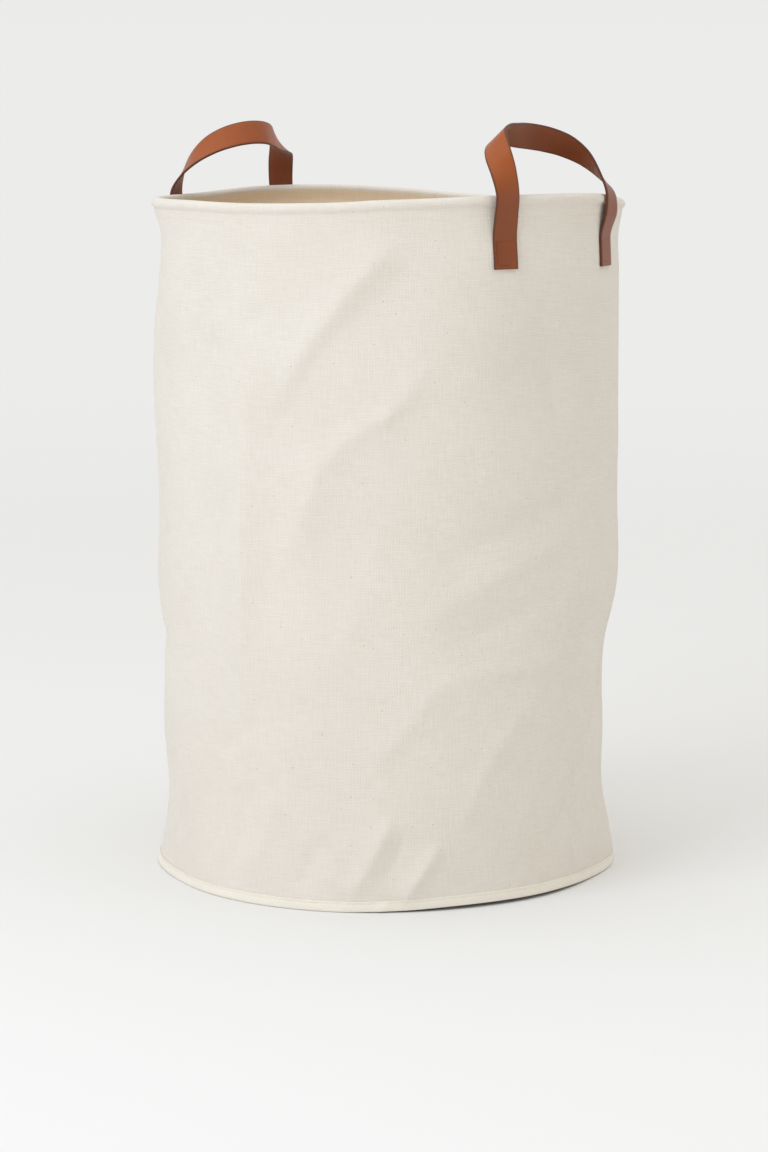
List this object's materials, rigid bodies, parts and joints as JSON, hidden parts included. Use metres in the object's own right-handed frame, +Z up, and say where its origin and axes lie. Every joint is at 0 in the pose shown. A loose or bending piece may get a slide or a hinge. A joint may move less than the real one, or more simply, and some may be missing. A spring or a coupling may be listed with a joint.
{
  "type": "fabric storage bin",
  "caption": "Tall round canvas storage bin with a wire-stiffened rolled rim, a bound base seam and leather strap loop handles.",
  "frame": {"origin": "middle of the face it stands on, on the floor", "axes": "+Z up; handles at +X and -X; side seam of the canvas at +Y"},
  "size_m": [0.3999, 0.4, 0.641],
  "materials": {
    "canvas": "natural plain-weave cotton canvas",
    "backing": "matte laminated inner face of the canvas",
    "binding_cloth": "cotton bias tape",
    "cream_thread": "spun thread",
    "brown_thread": "spun thread",
    "leather": "smooth tan strap leather, satin",
    "spring_steel": "bright wire",
    "ferrule_metal": "plain",
    "board": "plain sheet"
  },
  "bodies": {
    "bin": {"canvas_wall": "canvas", "wall_backing": "backing", "rim_hoop": "spring_steel", "hoop_ferrule": "ferrule_metal", "hem_stitching": "cream_thread", "side_seam_tape": "binding_cloth", "side_seam_stitching": "cream_thread", "base_canvas": "canvas", "base_board": "board", "base_lining": "backing", "base_binding": "binding_cloth", "base_binding_stitching": "cream_thread", "right_handle_front_tab": "leather", "right_handle_front_stitching": "brown_thread", "right_handle_front_patch": "canvas", "right_handle_rear_tab": "leather", "right_handle_rear_stitching": "brown_thread", "right_handle_rear_patch": "canvas", "left_handle_front_tab": "leather", "left_handle_front_stitching": "brown_thread", "left_handle_front_patch": "canvas", "left_handle_rear_tab": "leather", "left_handle_rear_stitching": "brown_thread", "left_handle_rear_patch": "canvas"},
    "right_handle": {"right_handle_strap": "leather"},
    "left_handle": {"left_handle_strap": "leather"}
  },
  "joints": [
    {"name": "right_handle_swing", "type": "hinge", "parent": "bin", "child": "right_handle", "pos_m": [0.1922, 0, 0.546], "axis": [0, 1, 0], "range_deg": [-4, 110], "stiffness_Nm_per_rad": 0.05, "springref_deg": 2.86},
    {"name": "left_handle_swing", "type": "hinge", "parent": "bin", "child": "left_handle", "pos_m": [-0.1922, 0, 0.546], "axis": [0, -1, 0], "range_deg": [-4, 110], "stiffness_Nm_per_rad": 0.05, "springref_deg": 2.86}
  ]
}
